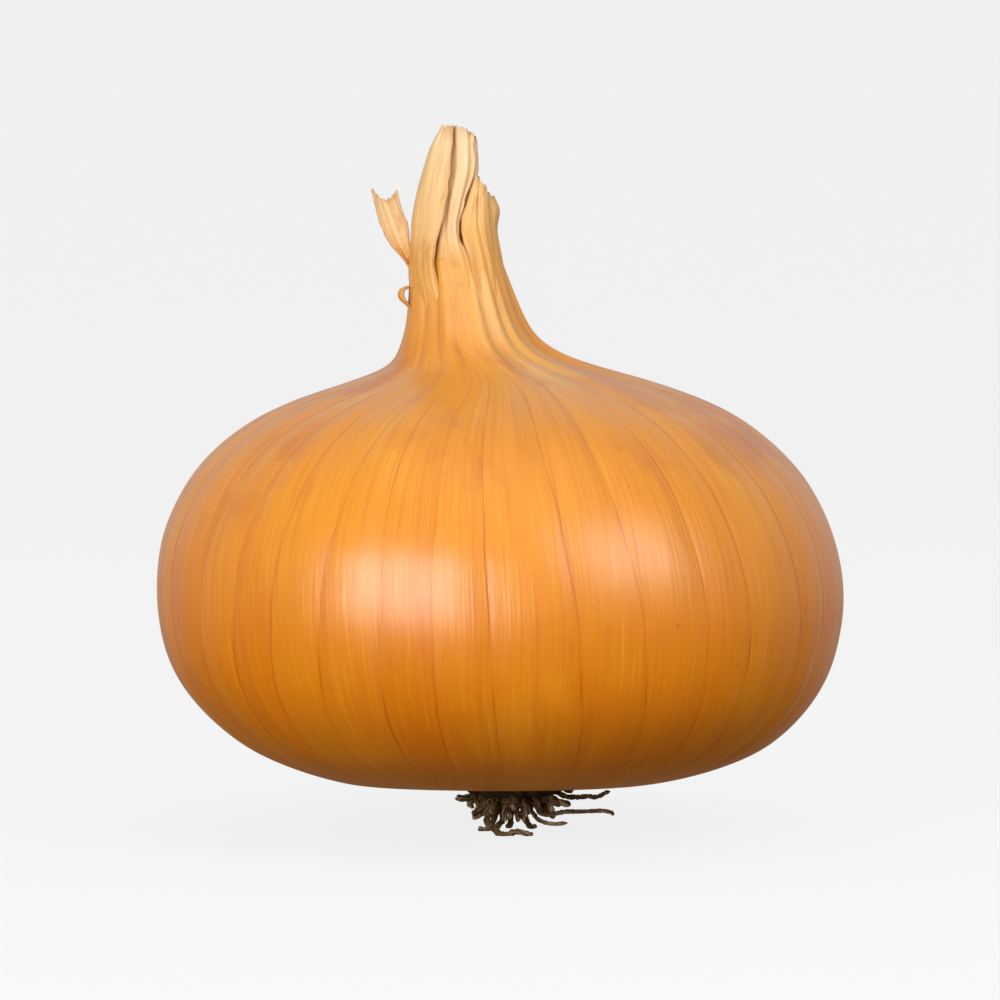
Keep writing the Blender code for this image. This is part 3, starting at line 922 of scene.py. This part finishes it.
def make_studio():
    """A wide pale floor, and an even pale dome that meets it at the horizon."""
    turn = np.linspace(0, 2 * math.pi, STUDIO_SIDES, endpoint=False)
    around = np.stack([np.cos(turn), np.sin(turn)], axis=1)
    rim = np.column_stack([STUDIO_RADIUS * around, np.zeros(STUDIO_SIDES)])
    floor = bpy.data.meshes.new("floor")
    floor.from_pydata(rim.tolist(), [], [tuple(range(STUDIO_SIDES))])
    make_stage("floor", floor, clear_from_below(glowing("floor_pale", FLOOR_COLOUR, FLOOR_GLOW)))

    lifts = np.radians(np.linspace(*DOME_LIFTS))
    points = []
    for lift in lifts:
        height = np.full(STUDIO_SIDES, DOME_RADIUS * math.sin(lift))
        points += np.column_stack([DOME_RADIUS * math.cos(lift) * around, height]).tolist()
    faces = [face[::-1] for face in quads(len(lifts), STUDIO_SIDES)]
    faces.append(tuple(range(len(points) - STUDIO_SIDES, len(points))))
    dome = bpy.data.meshes.new("backdrop")
    dome.from_pydata(points, [], faces)
    backdrop = make_stage("backdrop", dome, glowing("backdrop_pale", 0.0, BACKDROP))
    backdrop.visible_shadow = False


def make_world():
    """Soft grey light all round and overhead, more from behind, and a little warmth from below."""
    world = bpy.data.worlds.new("studio")
    world.use_nodes = True
    nodes = Nodes(world.node_tree)
    where = nodes.node("TexCoord", {}).outputs["Generated"]
    split = nodes.node("SeparateXYZ", {0: where}).outputs
    height = nodes.node("Math", {0: split["Z"], 1: 0.5, 2: 0.5}, operation="MULTIPLY_ADD").outputs[0]
    stops = ((0.30, WORLD_BELOW), (0.52, WORLD_SIDE), (0.70, WORLD_ABOVE), (1.0, WORLD_ABOVE))
    colour = nodes.ramp(height, stops)
    front, back = WORLD_BACK_RANGE
    inputs = {"Value": split["Y"], "From Min": front, "From Max": back, "To Max": WORLD_BACK_GAIN}
    gain = nodes.node("MapRange", {**inputs, "To Min": 1.0}).outputs[0]
    light = nodes.node("VectorMath", {0: colour, "Scale": gain}, operation="SCALE").outputs[0]
    nodes.tree.links.new(light, nodes.tree.nodes["Background"].inputs["Color"])
    bpy.context.scene.world = world


def direction_to(azimuth, elevation):
    """A unit vector towards a direction given in degrees from the front and above the horizon."""
    azimuth, elevation = math.radians(azimuth), math.radians(elevation)
    flat = math.cos(elevation)
    return np.array((math.sin(azimuth) * flat, -math.cos(azimuth) * flat, math.sin(elevation)))


def make_lights():
    for name, azimuth, elevation, distance, width, height, power in LIGHTS:
        data = bpy.data.lights.new(name, "AREA")
        data.shape = "RECTANGLE"
        data.size = width
        data.size_y = height
        data.energy = power
        light = bpy.data.objects.new(name, data)
        light.location = direction_to(azimuth, elevation) * distance + (0, 0, AIM_HEIGHT)
        light.rotation_euler = (math.radians(90 - elevation), 0, math.radians(azimuth))
        bpy.context.scene.collection.objects.link(light)


def make_camera():
    data = bpy.data.cameras.new("camera")
    data.sensor_width = SENSOR_MM
    data.lens = SENSOR_MM * CAMERA_DISTANCE / VIEW_WIDTH
    data.clip_end = CAMERA_FAR
    camera = bpy.data.objects.new("camera", data)
    back = direction_to(0, math.degrees(CAMERA_ELEVATION)) * CAMERA_DISTANCE
    upright = np.array((0.0, math.sin(CAMERA_ELEVATION), math.cos(CAMERA_ELEVATION)))
    x, y, height = CAMERA_TARGET
    camera.location = back + upright * height + (x, y, 0.0)
    camera.rotation_euler = (math.radians(90) - CAMERA_ELEVATION, 0, 0)
    bpy.context.scene.collection.objects.link(camera)
    bpy.context.scene.camera = camera


make_bulb(make_skin())
make_root_plate(make_cork())
make_roots(make_root_fibre())
straw = make_straw()
for seed, (leaf_name, (leaf_rows, leaf_crown)) in enumerate(LEAVES.items(), 41):
    make_leaf(leaf_name, leaf_rows, leaf_crown, seed, straw)

make_studio()
make_world()
make_lights()
make_camera()
bpy.context.scene.view_settings.view_transform = "Standard"
